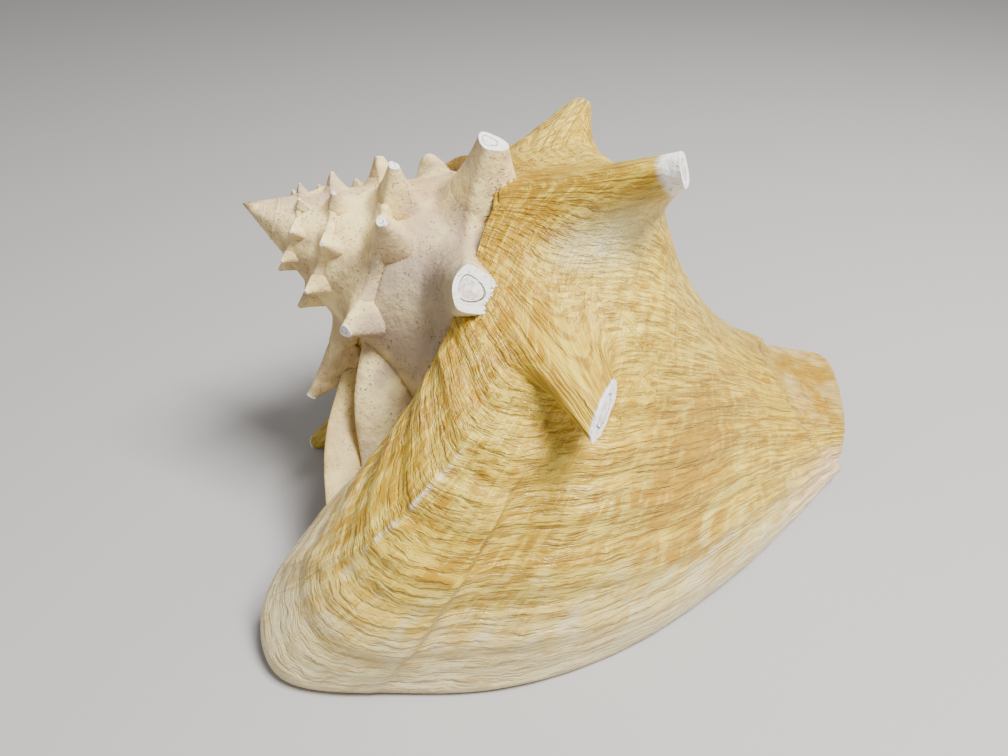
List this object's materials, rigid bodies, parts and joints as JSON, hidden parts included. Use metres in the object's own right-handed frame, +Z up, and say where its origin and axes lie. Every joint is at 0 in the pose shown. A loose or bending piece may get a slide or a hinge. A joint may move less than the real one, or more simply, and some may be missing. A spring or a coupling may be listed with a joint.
{
  "type": "conch shell",
  "caption": "Large conch shell with a spined spire, a flared lip and a recurved canal, resting mouth down on its lip edge and a long spine.",
  "frame": {"origin": "on the table, under the middle of the shell's bounding box", "axes": "+X runs from the spire's apex towards the canal, -Y is the side of the flared lip, +Z is up"},
  "size_m": [0.2076, 0.169, 0.1336],
  "materials": {
    "shell": "glossy cream and ochre body, chalky pale spire"
  },
  "bodies": {
    "root": {"conch_shell": "shell"}
  },
  "joints": []
}
